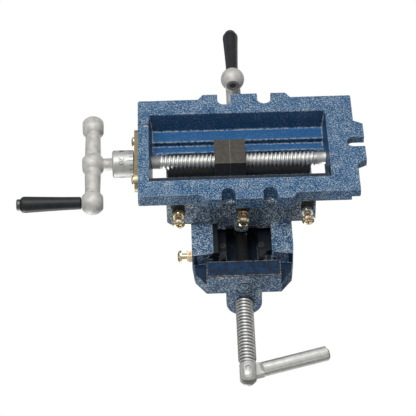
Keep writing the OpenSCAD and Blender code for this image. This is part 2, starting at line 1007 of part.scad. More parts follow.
base_casting();
x_bearing_plate();
x_plate_screws();
x_lead_screw();
x_dial();
x_dial_set_screw();
x_crank_arm();
x_crank_pin();
x_grip_spindle();
x_grip();
saddle();
x_nut();
x_nut_bolt();
x_gib();
x_gib_screws();
x_gib_locknuts();
y_nut();
y_nut_bolts();
vise_body();
y_bearing_plate();
y_plate_screws();
y_gib();
y_gib_screws();
y_gib_locknuts();
fixed_jaw_plate();
fixed_plate_screws();
y_lead_screw();
y_dial();
y_dial_set_screw();
y_crank_arm();
y_crank_pin();
y_grip_spindle();
y_grip();
movable_jaw();
movable_jaw_plate();
movable_plate_screws();
left_keeper();
right_keeper();
keeper_screws();
screw_retainer();
retainer_screws();
vise_screw();
handle_pin();
folding_handle();
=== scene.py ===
"""Dresses the cross slide vise.

Enamel castings, plated screws with cut threads, graduated dials and a pale studio.
"""

import math

import bmesh
import bpy
from mathutils import Matrix, Vector


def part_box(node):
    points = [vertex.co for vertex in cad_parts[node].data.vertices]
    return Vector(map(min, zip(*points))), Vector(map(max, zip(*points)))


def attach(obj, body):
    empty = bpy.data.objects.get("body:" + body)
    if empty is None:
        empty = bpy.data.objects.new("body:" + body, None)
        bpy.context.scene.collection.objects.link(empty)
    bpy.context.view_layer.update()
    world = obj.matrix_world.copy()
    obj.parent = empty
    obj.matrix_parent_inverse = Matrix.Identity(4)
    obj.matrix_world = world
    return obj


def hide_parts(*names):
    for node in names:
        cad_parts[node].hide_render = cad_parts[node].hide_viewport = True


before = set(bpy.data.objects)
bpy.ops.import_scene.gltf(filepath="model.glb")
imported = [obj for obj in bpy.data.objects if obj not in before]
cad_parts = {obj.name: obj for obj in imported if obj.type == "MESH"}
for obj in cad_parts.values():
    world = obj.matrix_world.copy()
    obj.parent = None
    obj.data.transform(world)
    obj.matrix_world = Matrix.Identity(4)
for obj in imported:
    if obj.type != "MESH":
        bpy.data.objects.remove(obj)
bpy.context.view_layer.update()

bl_info = {
    "name": "Cross slide vise",
    "version": (1, 0, 0),
    "blender": (4, 5, 0),
    "location": "View3D > Sidebar > Vise",
    "description": "Finishes, threads, dial marks and studio for a cross slide vise",
    "category": "Object",
}

MM = 0.001
FULL_TURN = 2 * math.pi
IMAGE_PX = 416
# vertices nearer than this are one
SAME_PLACE = 1e-6
# vertices nearer a cutting plane than this lie on it
ON_PLANE = 1e-7
# edges that bend more than this stay sharp
SHARP_ANGLE = math.radians(35)

# stained places and places of painted shade, in the part's own frame
# foot of the front lug: its sides, its front and back, and the height that it stays under
LUG_X, LUG_Y, LUG_FOOT = (-27 * MM, 43 * MM), (-136 * MM, -117 * MM), 43.4 * MM
# boxes by two corners, where None leaves a side open: the sunk ledge beside the lug, painted in shade, the
# slide channel, painted darker, the hollow under the base, painted in shade, the painted shade behind its
# front rim, and the saw cut in its wall, painted dark
LUG_LEDGE = ((None, -135.6 * MM, None), (None, -109 * MM, 54.5 * MM))
CHANNEL = ((-20.4 * MM, -116.8 * MM, None), (36.4 * MM, None, 71.5 * MM))
HOLLOW = ((-80.2 * MM, -36.5 * MM, 0.7 * MM), (96.2 * MM, 47.8 * MM, 26.5 * MM))
SHADED_RIM = ((-80.2 * MM, -47.8 * MM, 2 * MM), (96.2 * MM, -27 * MM, 9.5 * MM))
SAW_CUT = ((94 * MM, 33.1 * MM, None), (None, 34.9 * MM, 2 * MM))
# the lock nut that is bare lies under this X and past this Y
BARE_NUT = (-40 * MM, -72.5 * MM)
# half width and roof of the ways under the saddle
WAY_HALF, WAY_ROOF = 58 * MM, 34 * MM
# darker ring round an axis: the axis, its place, inner and outer radius, both ends, share of darkening;
# round the vise screw hole and on the upper lead screw in the channel the ring is painted shade
SCREW_HOLE_SHADE = ("Y", (8 * MM, 80.5 * MM), 9 * MM, 10.4 * MM, -137 * MM, -116 * MM, 0.95)
DARK_RINGS = {
    "x_lead_screw": ("X", (0, 21.2 * MM), 5.5 * MM, 6.8 * MM, -67 * MM, 84 * MM, 0.2),
    "y_lead_screw": ("Y", (8 * MM, 60.5 * MM), 6.1 * MM, 6.8 * MM, -140 * MM, 45 * MM, 0.85),
    "y_crank_arm": ("Y", (9.97 * MM, 13.54 * MM), 6.6 * MM, 7.4 * MM, 100 * MM, 103.5 * MM, 0.6),
    "vise_screw": ("Y", (8 * MM, 80.5 * MM), 7.1 * MM, 8.3 * MM, -216 * MM, -101.5 * MM, 0.9),
}


def hex_rgba(code):
    """Linear colour with alpha 1 from an sRGB hex code such as 4A6C96."""
    parts = [int(code[i : i + 2], 16) / 255 for i in (0, 2, 4)]
    linear = [p / 12.92 if p <= 0.04045 else ((p + 0.055) / 1.055) ** 2.4 for p in parts]
    return (*linear, 1.0)


def colour_prop(name, text, code):
    return bpy.props.FloatVectorProperty(
        name=name, description=text, default=hex_rgba(code), size=4, subtype="COLOR", min=0, max=1
    )


def length_prop(name, text, value):
    return bpy.props.FloatProperty(
        name=name, description=text, default=value, subtype="DISTANCE", unit="LENGTH"
    )


class ViseFinish(bpy.types.PropertyGroup):
    enamel: colour_prop("Enamel", "Hammered blue enamel between the flecks", "3871A1")
    # also the colour of the painted shade in sheltered corners and in the hollow
    enamel_valley_and_shade: colour_prop("Enamel valleys", "Blue in the valleys of the hammer finish", "184169")
    # also the colour of the painted glints in the hollow and of the partly painted pale edges
    enamel_fleck_and_glint: colour_prop("Enamel flecks", "Pale flecks that float in the enamel", "B6BDBD")
    # the hollow's blue for painted light and shade: its lit ledges get this blue, its walls a darker ramp of
    # it
    enamel_deep: colour_prop("Deep enamel", "Blue of the wet coat in the hollow", "275F94")
    # also the colour of the painted shade on the sunk ledge beside the lug
    lug_coat_and_ledge_shade: colour_prop("Lug coat", "Thin dark coat on the machined foot of the lug", "062D4E")
    bare_iron: colour_prop("Bare iron", "Brown iron where the paint is rubbed off", "3A2E26")
    # also the colour of painted shade round the vise screw hole, behind the base's front rim, on the saddle
    # and on the greased steel
    grease: colour_prop("Grease", "Old grease in the slide channel", "121A22")
    # also the colour of painted shade in the slots and gaps of the yellow zinc screws
    dirt_and_shade: colour_prop("Dirt", "Brown dirt in the slots of the screws", "3A2418")
    dust: colour_prop("Dust", "Grey dust on the saddle", "B4AC9A")
    dark_steel: colour_prop("Dark steel", "Plain steel of the grip spindles", "6A6A68")
    crank_iron: colour_prop("Crank iron", "Tumbled bare iron of the crank arms", "C4C3BE")
    zinc: colour_prop("Zinc plate", "Bright zinc on screws, dials and handle", "C6C6C2")
    yellow_zinc: colour_prop("Yellow zinc", "Passivated zinc on plates, gib screws and nuts", "CDBD98")
    thin_film: colour_prop("Thin film", "Yellow zinc worn pale on edges", "F0E6D4")
    rose_zinc: colour_prop("Rose zinc", "Reddish drift in the yellow zinc", "B07C62")
    oxide: colour_prop("Black oxide", "Oxided steel of slide nuts and socket screws", "4B463F")
    ground: colour_prop("Ground steel", "Ground faces of the jaw plates", "A9A9A6")
    grip: colour_prop("Grip plastic", "Black moulded grips", "1E2021")
    ink: colour_prop("Dial ink", "Ink of the dial marks", "3A3B3D")
    worn_ink: colour_prop("Worn ink", "Dial ink where it is worn thin", "6E7072")


class ViseSizes(bpy.types.PropertyGroup):
    pitch: length_prop("Pitch", "Pitch of all three screws", 4 * MM)
    thread_depth: length_prop("Thread depth", "Depth of the lead screw threads", 1.6 * MM)
    edge: length_prop("Casting edge", "Softening of the casting edges", 0.9 * MM)
    fine_edge: length_prop("Fine edge", "Softening of turned and cut steel edges", 0.25 * MM)
    nut_edge: length_prop("Nut edge", "Softening of the edges of the two slide nuts", 0.7 * MM)
    crank_edge: length_prop("Crank edge", "Softening of the crank arms", 0.6 * MM)
    grip_edge: length_prop("Grip edge", "Softening of the grips", 0.5 * MM)
    tick_count: bpy.props.IntProperty(
        name="Dial marks", description="Marks around each dial", default=20, min=10
    )


def sizes():
    return bpy.context.scene.vise_sizes


def finish():
    return bpy.context.scene.vise_finish


def piece(name, bm, material, body, replaced=()):
    """Object from a bmesh, riding on a body, smooth by angle."""
    bmesh.ops.remove_doubles(bm, verts=bm.verts, dist=SAME_PLACE)
    bmesh.ops.recalc_face_normals(bm, faces=bm.faces)
    mesh = bpy.data.meshes.new(name)
    bm.to_mesh(mesh)
    bm.free()
    obj = bpy.data.objects.new(name, mesh)
    bpy.context.scene.collection.objects.link(obj)
    mesh.materials.append(material)
    mesh.polygons.foreach_set("use_smooth", [True] * len(mesh.polygons))
    mesh.set_sharp_from_angle(angle=SHARP_ANGLE)
    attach(obj, body)
    if replaced:
        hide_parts(*replaced)
    return obj


# Materials

NOISE, RAMP, MATH, MIX = "ShaderNodeTexNoise", "ShaderNodeValToRGB", "ShaderNodeMath", "ShaderNodeMix"
RANGE, SPLIT, BUMP = "ShaderNodeMapRange", "ShaderNodeSeparateXYZ", "ShaderNodeBump"
OCCLUSION, GEOMETRY = "ShaderNodeAmbientOcclusion", "ShaderNodeNewGeometry"
# a Mix node set for colours: inputs 6 and 7 are its two colours, output 2 is the mixed one
RGBA = {"out": 2, "data_type": "RGBA"}
# scale of a noise whose pattern is one millimetre wide
PER_MM = 1 / MM
# turning lines run round the axis, so the grain is drawn out across it
ROUND_X, ROUND_Y, EVEN = (1, 0.05, 0.05), (0.05, 1, 0.05), (1, 1, 1)


def add_node(tree, kind, inputs=None, stops=(), out=0, **settings):
    """Adds a node with its settings and links, and returns one of its outputs.

    Inputs go by name or place, and each is a number, a colour or another node's output. Stops are the
    places and colours of a ramp.
    """
    node = tree.nodes.new(kind)
    for key, value in settings.items():
        setattr(node, key, value)
    for key, value in (inputs or {}).items():
        if isinstance(value, bpy.types.NodeSocket):
            tree.links.new(value, node.inputs[key])
        else:
            node.inputs[key].default_value = value
    for _ in stops[2:]:
        node.color_ramp.elements.new(0.5)
    for place, (position, colour) in enumerate(stops):
        node.color_ramp.elements[place].position = position
        node.color_ramp.elements[place].color = colour
    return node.outputs[out]


def new_material(name, **sockets):
    """Material, its tree, its shader's inputs and the Object coordinates."""
    material = bpy.data.materials.new(name)
    material.use_nodes = True
    tree = material.node_tree
    shader = tree.nodes["Principled BSDF"].inputs
    for key, value in sockets.items():
        shader[key.replace("_", " ")].default_value = value
    return material, tree, shader, add_node(tree, "ShaderNodeTexCoord", out="Object")


def edge_mask(tree, width_mm):
    """Near 1 along edges and 0 on flats."""
    rounded = add_node(tree, "ShaderNodeBevel", {"Radius": width_mm * MM}, samples=4)
    plain = add_node(tree, GEOMETRY, out="True Normal")
    match = add_node(
        tree, "ShaderNodeVectorMath", {0: rounded, 1: plain}, out="Value", operation="DOT_PRODUCT"
    )
    return add_node(tree, RANGE, {"Value": match, "From Min": 0.99, "From Max": 0.88})


def inside(tree, place, low, high):
    """1 inside a box given by two corners, where None leaves a side open, and 0 outside it."""
    axes = add_node(tree, SPLIT, {"Vector": place}).node.outputs
    mask = None
    for bounds, test in ((low, "GREATER_THAN"), (high, "LESS_THAN")):
        for axis, bound in zip(axes, bounds):
            if bound is None:
                continue
            side = add_node(tree, MATH, {0: axis, 1: bound}, operation=test)
            mask = add_node(tree, MATH, {0: mask, 1: side}, operation="MULTIPLY") if mask else side
    return mask


def darker_ring(tree, place, axis, centre, inner, outer, low, high, share):
    """A share up to the inner radius round an axis, falling to 0 at the outer one; 0 past both ends."""
    axes = add_node(tree, SPLIT, {"Vector": place}).node.outputs
    square = None
    for name, line in zip([a for a in "XYZ" if a != axis], centre):
        off = add_node(tree, MATH, {0: axes[name], 1: line}, operation="SUBTRACT")
        part = add_node(tree, MATH, {0: off, 1: 2}, operation="POWER")
        square = add_node(tree, MATH, {0: square, 1: part}, operation="ADD") if square else part
    radius = add_node(tree, MATH, {0: square}, operation="SQRT")
    depth = add_node(tree, RANGE, {"Value": radius, "From Min": outer, "From Max": inner, "To Max": share})
    after = add_node(tree, MATH, {0: axes[axis], 1: low}, operation="GREATER_THAN")
    before = add_node(tree, MATH, {0: axes[axis], 1: high}, operation="LESS_THAN")
    within = add_node(tree, MATH, {0: after, 1: before}, operation="MULTIPLY")
    return add_node(tree, MATH, {0: depth, 1: within}, operation="MULTIPLY")


def tinted(colour, share):
    """A colour made lighter or darker by a share."""
    return (*(min(1.0, c * share) for c in colour[:3]), 1.0)


def hammered_enamel(name, contrast, fleck_mm, *stains_and_shades):
    """Hammered enamel sprayed on cast iron: pale flecks float in blue, the skin is glossy and pebbled.

    Each of stains_and_shades is a function that lays stains, wear and painted shade over the enamel's
    colour.
    """
    material, tree, shader, place = new_material(name, Roughness=0.36, Specular_IOR_Level=0.25)
    f = finish()
    drift_mm, dash_mm, pebble_mm, pebble_height_mm = 14.0, 2.2, 1.7, 0.3
    shelter_mm, thin_lit_edge_mm = 22.0, 1.5
    valley, blue = tinted(f.enamel_valley_and_shade, contrast**-1.5), tinted(f.enamel, contrast**-0.9)
    flecks = add_node(
        tree,
        NOISE,
        {"Vector": place, "Scale": PER_MM / fleck_mm, "Detail": 1.5, "Roughness": 0.55, "Distortion": 0.9},
    )
    drift = add_node(tree, NOISE, {"Vector": place, "Scale": PER_MM / drift_mm, "Detail": 1.0})
    slow = add_node(tree, RANGE, {"Value": drift, "To Min": -0.09, "To Max": 0.09})
    tone = add_node(tree, MATH, {0: flecks, 1: slow}, operation="ADD")
    colour = add_node(
        tree,
        RAMP,
        {"Fac": tone},
        stops=((0.4, valley), (0.48, blue), (0.53, blue), (0.64, tinted(f.enamel_fleck_and_glint, contrast))),
    )
    # painted shade: sheltered corners are darkened towards the valley blue
    open_air = add_node(
        tree, OCCLUSION, {"Distance": shelter_mm * MM}, out="AO", samples=6, only_local=True
    )
    corner_shade = add_node(
        tree, RANGE, {"Value": open_air, "From Min": 0.85, "From Max": 0.4, "To Max": 0.5}
    )
    colour = add_node(tree, MIX, {0: corner_shade, 6: colour, 7: f.enamel_valley_and_shade}, **RGBA)
    for stain in stains_and_shades:
        colour = stain(tree, place, colour)
    # edges look paler in dashes: partly thin paint, partly a painted highlight
    dashes = add_node(tree, NOISE, {"Vector": place, "Scale": PER_MM / dash_mm, "Detail": 1.0})
    dashes = add_node(tree, RANGE, {"Value": dashes, "From Min": 0.4, "From Max": 0.62})
    thin = add_node(tree, MATH, {0: edge_mask(tree, thin_lit_edge_mm), 1: dashes}, operation="MULTIPLY")
    colour = add_node(tree, MIX, {0: thin, 6: colour, 7: f.enamel_fleck_and_glint}, **RGBA)
    tree.links.new(colour, shader["Base Color"])
    pebble = add_node(
        tree, "ShaderNodeTexVoronoi", {"Vector": place, "Scale": PER_MM / pebble_mm}, feature="SMOOTH_F1"
    )
    bump = add_node(
        tree, BUMP, {"Height": pebble, "Strength": 0.5, "Distance": pebble_height_mm * MM}
    )
    tree.links.new(bump, shader["Normal"])
    return material


def hollow_shade(tree, place, colour):
    """Painted shade in the hollow of the base: deep blue with few flecks, darker the further in."""
    f = finish()
    mouth, roof, ledge_slope = 3 * MM, 15 * MM, -0.7
    glint_mm, glint_edge_mm = 2.5, 3.0
    hollow_shade_share, dark_rim_share = 0.86, 0.9
    mask = inside(tree, place, *HOLLOW)
    height = add_node(tree, SPLIT, {"Vector": place}, out="Z")
    depth = add_node(tree, RANGE, {"Value": height, "From Min": mouth, "From Max": roof})
    shade = add_node(
        tree, RAMP, {"Fac": depth}, stops=((0.0, f.enamel_valley_and_shade), (0.6, tinted(f.enamel_deep, 0.38)))
    )
    # painted light and shade: the flat ledges over the hollow get the lit blue, its walls the darker ramp
    facing = add_node(tree, GEOMETRY, out="True Normal")
    down = add_node(tree, SPLIT, {"Vector": facing}, out="Z")
    ledge = add_node(tree, MATH, {0: down, 1: ledge_slope}, operation="LESS_THAN")
    coat = add_node(tree, MIX, {0: ledge, 6: shade, 7: f.enamel_deep}, **RGBA)
    share = add_node(tree, MATH, {0: mask, 1: hollow_shade_share}, operation="MULTIPLY")
    colour = add_node(tree, MIX, {0: share, 6: colour, 7: coat}, **RGBA)
    # painted glints in dashes along the edges of the ledges
    glints = add_node(tree, NOISE, {"Vector": place, "Scale": PER_MM / glint_mm, "Detail": 1.0})
    glints = add_node(tree, RANGE, {"Value": glints, "From Min": 0.42, "From Max": 0.55})
    glints = add_node(tree, MATH, {0: glints, 1: edge_mask(tree, glint_edge_mm)}, operation="MULTIPLY")
    glints = add_node(tree, MATH, {0: glints, 1: mask}, operation="MULTIPLY")
    colour = add_node(tree, MIX, {0: glints, 6: colour, 7: tinted(f.enamel_fleck_and_glint, 1.3)}, **RGBA)
    # painted shade behind the front rim, and the saw cut of the crank side wall painted dark
    rim, cut = inside(tree, place, *SHADED_RIM), inside(tree, place, *SAW_CUT)
    dark_rim_and_cut = add_node(tree, MATH, {0: rim, 1: cut}, operation="MAXIMUM")
    share = add_node(tree, MATH, {0: dark_rim_and_cut, 1: dark_rim_share}, operation="MULTIPLY")
    return add_node(tree, MIX, {0: share, 6: colour, 7: tinted(f.grease, 0.6)}, **RGBA)


def lug_wear_and_shade(tree, place, colour):
    """Machined foot of the front lug: one plain dark coat, rubbed to brown iron at its rim; painted shade
    round the screw hole and on the sunk ledge beside the lug.
    """
    f = finish()
    ragged_mm, drift_mm, ledge_shade_share = 3.0, 5.0, 0.94
    foot = inside(tree, place, (None, None, None), (None, LUG_Y[1], LUG_FOOT))
    axes = add_node(tree, SPLIT, {"Vector": place}).node.outputs
    rim = None
    for axis, (near, far) in ((axes["X"], LUG_X), (axes["Y"], LUG_Y)):
        for first, second in ((axis, near), (far, axis)):
            gap = add_node(tree, MATH, {0: first, 1: second}, operation="SUBTRACT")
            rim = add_node(tree, MATH, {0: rim, 1: gap}, operation="MINIMUM") if rim else gap
    ragged = add_node(tree, NOISE, {"Vector": place, "Scale": PER_MM / ragged_mm, "Detail": 2.0})
    reach = add_node(tree, RANGE, {"Value": ragged, "To Min": -0.5 * MM, "To Max": 2.7 * MM})
    bare = add_node(tree, MATH, {0: rim, 1: reach}, operation="LESS_THAN")
    drift = add_node(tree, NOISE, {"Vector": place, "Scale": PER_MM / drift_mm, "Detail": 2.0})
    thick, thin = tinted(f.lug_coat_and_ledge_shade, 0.35), tinted(f.lug_coat_and_ledge_shade, 1.3)
    coat = add_node(tree, RAMP, {"Fac": drift}, stops=((0.35, thick), (0.65, thin)))
    worn = add_node(tree, MIX, {0: bare, 6: coat, 7: f.bare_iron}, **RGBA)
    # painted shade: a dark ring round the screw hole
    ring_darkening = darker_ring(tree, place, *SCREW_HOLE_SHADE)
    colour = add_node(tree, MIX, {0: ring_darkening, 6: colour, 7: tinted(f.grease, 0.6)}, **RGBA)
    # painted shade: the sunk ledge beside the lug is dark, with few flecks
    ledge = inside(tree, place, *LUG_LEDGE)
    share = add_node(tree, MATH, {0: ledge, 1: ledge_shade_share}, operation="MULTIPLY")
    colour = add_node(tree, MIX, {0: share, 6: colour, 7: tinted(f.lug_coat_and_ledge_shade, 0.6)}, **RGBA)
    return add_node(tree, MIX, {0: foot, 6: colour, 7: worn}, **RGBA)


def channel_darkening(tree, place, colour):
    """Darkens the walls of the slide channel."""
    darkening_share = 0.95
    share = add_node(
        tree, MATH, {0: inside(tree, place, *CHANNEL), 1: darkening_share}, operation="MULTIPLY"
    )
    return add_node(tree, MIX, {0: share, 6: colour, 7: finish().grease}, **RGBA)


def saddle_dust_grease_and_shadows(tree, place, colour):
    """Dust on the saddle; its ways darkened, partly grease and partly painted shade; painted shadows below
    the gib screws.
    """
    f = finish()
    dust_share, darkening_share = 0.08, 0.97
    margin, skin, nut_half, ragged_mm = 1.5 * MM, 4 * MM, 6 * MM, 4.0
    colour = add_node(tree, MIX, {0: dust_share, 6: colour, 7: f.dust}, **RGBA)
    low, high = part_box("saddle")
    screw_low, screw_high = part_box("x_gib_screws")
    ways = inside(
        tree, place, (low.x + margin, -WAY_HALF, None), (high.x - margin, WAY_HALF, WAY_ROOF)
    )
    # painted shadows of the gib screws on the saddle's front, below each screw
    pitch = (screw_high.x - screw_low.x) / 2 - nut_half
    along = add_node(tree, SPLIT, {"Vector": place}, out="X")
    from_middle = add_node(tree, MATH, {0: along, 1: middle("x_gib_screws", 0)}, operation="SUBTRACT")
    nearest = add_node(tree, MATH, {0: from_middle, 1: pitch / 2}, operation="PINGPONG")
    ragged = add_node(tree, NOISE, {"Vector": place, "Scale": PER_MM / ragged_mm, "Detail": 2.0})
    reach = add_node(tree, RANGE, {"Value": ragged, "To Min": 4 * MM, "To Max": 9 * MM})
    near = add_node(tree, MATH, {0: nearest, 1: reach}, operation="LESS_THAN")
    front = inside(tree, place, (None, None, None), (None, low.y + skin, middle("x_gib_screws", 2)))
    screw_shadow = add_node(tree, MATH, {0: near, 1: front}, operation="MULTIPLY")
    mask = add_node(tree, MATH, {0: ways, 1: screw_shadow}, operation="MAXIMUM")
    share = add_node(tree, MATH, {0: mask, 1: darkening_share}, operation="MULTIPLY")
    return add_node(tree, MIX, {0: share, 6: colour, 7: tinted(f.grease, 0.45)}, **RGBA)


def metal(name, colour, share, roughness, metallic, grain_mm, bump_mm, stretch=EVEN, dark_ring_part=None):
    """Metal skin: slow stains in its colour, and a grain in its gloss that stretch draws into lines.

    The colour is the name of a finish, made lighter or darker by a share. dark_ring_part names a darker ring
    in DARK_RINGS.
    """
    material, tree, shader, place = new_material(name, Metallic=metallic)
    colour = tinted(getattr(finish(), colour), share)
    stain_mm, crease_mm, gloss_swing = 6 * grain_mm, 3.0, 0.05
    dark, pale = tinted(colour, 1 - 0.45 * roughness), tinted(colour, 1.06)
    stain = add_node(tree, NOISE, {"Vector": place, "Scale": PER_MM / stain_mm, "Detail": 3.0})
    skin = add_node(tree, RAMP, {"Fac": stain}, stops=((0.3, dark), (0.55, colour), (0.75, pale)))
    # painted shade darkens the creases
    open_air = add_node(
        tree, OCCLUSION, {"Distance": crease_mm * MM}, out="AO", samples=6, only_local=True
    )
    crease_shade = add_node(
        tree, RANGE, {"Value": open_air, "From Min": 0.85, "From Max": 0.45, "To Max": 0.6}
    )
    skin = add_node(tree, MIX, {0: crease_shade, 6: skin, 7: tinted(colour, 0.4)}, **RGBA)
    if dark_ring_part:
        ring_darkening = darker_ring(tree, place, *DARK_RINGS[dark_ring_part])
        skin = add_node(tree, MIX, {0: ring_darkening, 6: skin, 7: tinted(finish().grease, 1.6)}, **RGBA)
    tree.links.new(skin, shader["Base Color"])
    drawn = add_node(tree, "ShaderNodeMapping", {"Vector": place, "Scale": stretch})
    grain = add_node(tree, NOISE, {"Vector": drawn, "Scale": PER_MM / grain_mm, "Detail": 3.0})
    low, high = roughness - gloss_swing, roughness + gloss_swing
    gloss = add_node(
        tree, RANGE, {"Value": grain, "From Min": 0.3, "From Max": 0.7, "To Min": low, "To Max": high}
    )
    tree.links.new(gloss, shader["Roughness"])
    bump = add_node(tree, BUMP, {"Height": grain, "Strength": 0.6, "Distance": bump_mm * MM})
    tree.links.new(bump, shader["Normal"])
    return material


def yellow_passivate():
    """Yellow chromate over zinc: a thin film that drifts from straw to rose; one nut has lost it."""
    material, tree, shader, place = new_material("Yellow zinc plate", Metallic=0.85, Roughness=0.2)
    f = finish()
    drift_mm, grain_mm, bump_mm = 6.0, 0.8, 0.004
    pale_edge_mm, slot_mm = 0.9, 2.5
    drift = add_node(tree, NOISE, {"Vector": place, "Scale": PER_MM / drift_mm, "Detail": 1.5})
    film = add_node(
        tree,
        RAMP,
        {"Fac": drift},
        stops=(
            (0.3, tinted(f.yellow_zinc, 0.55)),
            (0.48, f.yellow_zinc),
            (0.6, tinted(f.yellow_zinc, 1.3)),
            (0.72, f.rose_zinc),
        ),
    )
    bare = inside(tree, place, (None, BARE_NUT[1], None), (BARE_NUT[0], None, None))
    skin = add_node(tree, MIX, {0: bare, 6: film, 7: f.zinc}, **RGBA)
    # the film is thin on edges; brown dirt and painted shade darken the slots and the gaps between parts
    pale = edge_mask(tree, pale_edge_mm)
    skin = add_node(tree, MIX, {0: pale, 6: skin, 7: f.thin_film}, **RGBA)
    open_air = add_node(tree, OCCLUSION, {"Distance": slot_mm * MM}, out="AO", samples=6)
    slot_dirt_and_shade = add_node(tree, RANGE, {"Value": open_air, "From Min": 0.75, "From Max": 0.35})
    skin = add_node(tree, MIX, {0: slot_dirt_and_shade, 6: skin, 7: f.dirt_and_shade}, **RGBA)
    tree.links.new(skin, shader["Base Color"])
    grain = add_node(tree, NOISE, {"Vector": place, "Scale": PER_MM / grain_mm})
    bump = add_node(tree, BUMP, {"Height": grain, "Distance": bump_mm * MM})
    tree.links.new(bump, shader["Normal"])
    return material


def oxided_nut():
    """Black oxide on a sawn block: brown-black and dull, paler on its edges and on a scribed line."""
    material, tree, shader, place = new_material("Oxided nut", Roughness=0.55, Metallic=0.35)
    f = finish()
    cloud_mm, grain_mm, bump_mm = 3.0, 0.9, 0.08
    rubbed_edge_mm, scribe_half = 0.6, 0.35 * MM
    cloud = add_node(tree, NOISE, {"Vector": place, "Scale": PER_MM / cloud_mm, "Detail": 4.0})
    dark, pale = tinted(f.oxide, 0.7), tinted(f.oxide, 1.25)
    skin = add_node(tree, RAMP, {"Fac": cloud}, stops=((0.3, dark), (0.7, pale)))
    centre = middle("x_nut", 0)
    line = inside(tree, place, (centre - scribe_half, None, None), (centre + scribe_half, None, None))
    rubbed = add_node(tree, MATH, {0: line, 1: edge_mask(tree, rubbed_edge_mm)}, operation="MAXIMUM")
    skin = add_node(tree, MIX, {0: rubbed, 6: skin, 7: tinted(f.oxide, 2.2)}, **RGBA)
    tree.links.new(skin, shader["Base Color"])
    grain = add_node(tree, NOISE, {"Vector": place, "Scale": PER_MM / grain_mm, "Detail": 3.0})
    bump = add_node(tree, BUMP, {"Height": grain, "Distance": bump_mm * MM})
    tree.links.new(bump, shader["Normal"])
    return material


def moulded_plastic():
    """Black phenolic, moulded and lightly polished: soft broad highlights, a faint flow pattern."""
    material, tree, shader, place = new_material("Moulded black plastic", IOR=1.5, Specular_IOR_Level=0.24)
    colour = finish().grip
    flow_mm, skin_mm, bump_mm = 9.0, 1.2, 0.03
    flow = add_node(tree, NOISE, {"Vector": place, "Scale": PER_MM / flow_mm})
    dark, pale = tinted(colour, 0.8), tinted(colour, 1.5)
    skin = add_node(tree, RAMP, {"Fac": flow}, stops=((0.35, dark), (0.7, pale)))
    tree.links.new(skin, shader["Base Color"])
    gloss = add_node(tree, RANGE, {"Value": flow, "To Min": 0.36, "To Max": 0.52})
    tree.links.new(gloss, shader["Roughness"])
    grain = add_node(tree, NOISE, {"Vector": place, "Scale": PER_MM / skin_mm})
    bump = add_node(tree, BUMP, {"Height": grain, "Distance": bump_mm * MM})
    tree.links.new(bump, shader["Normal"])
    return material


def dial_ink():
    """Grey ink in the dial marks, worn thin in places."""
    material, tree, shader, place = new_material("Dial ink", Roughness=0.6)
    f = finish()
    worn_mm = 1.5
    worn = add_node(tree, NOISE, {"Vector": place, "Scale": PER_MM / worn_mm})
    skin = add_node(tree, RAMP, {"Fac": worn}, stops=((0.35, f.ink), (0.7, f.worn_ink)))
    tree.links.new(skin, shader["Base Color"])
    return material


# metals made in one way: colour, its share, roughness, metallic, grain and bump in millimetres, stretch
# of the grain, part whose darker ring is laid on
METALS = {
    # cast and tumbled: pale grey, satin, with small dents
    "Tumbled crank iron": ("crank_iron", 1.1, 0.56, 0.25, 0.9, 0.16),
    "Upper crank iron": ("crank_iron", 1.1, 0.56, 0.25, 0.9, 0.16, EVEN, "y_crank_arm"),
    # zinc straight from the bath: pale, bright, nearly smooth
    "Bright zinc plate": ("zinc", 1.02, 0.33, 0.65, 0.7, 0.001),
    # zinc over turned steel: soft rings round the axis
    "Turned zinc on X": ("zinc", 0.84, 0.48, 0.55, 0.5, 0.001, ROUND_X),
    "Turned zinc on Y": ("zinc", 0.84, 0.48, 0.55, 0.5, 0.001, ROUND_Y),
    # zinc on rolled threads: bright crests, darker in the roots
    # painted light: this zinc is lightened well above that of the other screws
    "Lower screw zinc": ("zinc", 1.42, 0.4, 0.6, 0.5, 0.004, ROUND_X, "x_lead_screw"),
    # painted shade: the upper screw is darker along its plain shaft in the channel
    "Upper screw zinc": ("zinc", 1.0, 0.36, 0.85, 0.5, 0.004, ROUND_Y, "y_lead_screw"),
    "Vise screw zinc": ("zinc", 1.0, 0.38, 0.58, 0.5, 0.006, ROUND_Y, "vise_screw"),
    # thick straw-coloured film on a pressed plate, satin
    "Straw zinc plate": ("yellow_zinc", 0.54, 0.36, 0.75, 0.8, 0.01),
    # slides that live in old grease: black with a wet sheen, the black partly painted shade
    "Greased steel": ("grease", 1.3, 0.42, 0.3, 1.5, 0.02),
    # plain turned steel, grey and a little dull
    "Dark steel": ("dark_steel", 0.62, 0.42, 0.7, 0.7, 0.006),
    # oxided steel: nearly black, soft sheen
    "Black oxide steel": ("oxide", 1.0, 0.5, 0.4, 1.0, 0.03),
    # ground flat: fine lines one way, cool grey
    "Ground steel": ("ground", 1.0, 0.33, 0.9, 0.4, 0.006, (1, 1, 0.04)),
}
# contrast and size in millimetres of the flecks, and what lies on the enamel
ENAMELS = {
    "Enamel with a wet hollow": (1.1, 1.2, hollow_shade),
    # the saddle's copy is darker, with paler flecks: painted shade
    "Enamel with greasy ways": (1.75, 1.1, saddle_dust_grease_and_shadows),
    "Enamel with worn lug": (1.35, 1.1, lug_wear_and_shade, channel_darkening),
    "Enamel with greasy foot": (1.35, 1.1, channel_darkening),
}
OTHERS = {
    "Yellow zinc plate": yellow_passivate,
    "Oxided nut": oxided_nut,
    "Moulded black plastic": moulded_plastic,
    "Dial ink": dial_ink,
}


def material(name):
    """The material of that name, made when first asked for."""
    if name in bpy.data.materials:
        return bpy.data.materials[name]
    if name in METALS:
        return metal(name, *METALS[name])
    if name in ENAMELS:
        return hammered_enamel(name, *ENAMELS[name])
    return OTHERS[name]()


def dress(node, name):
    """Gives a CAD node its finish."""
    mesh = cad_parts[node].data
    mesh.materials.clear()
    mesh.materials.append(material(name))


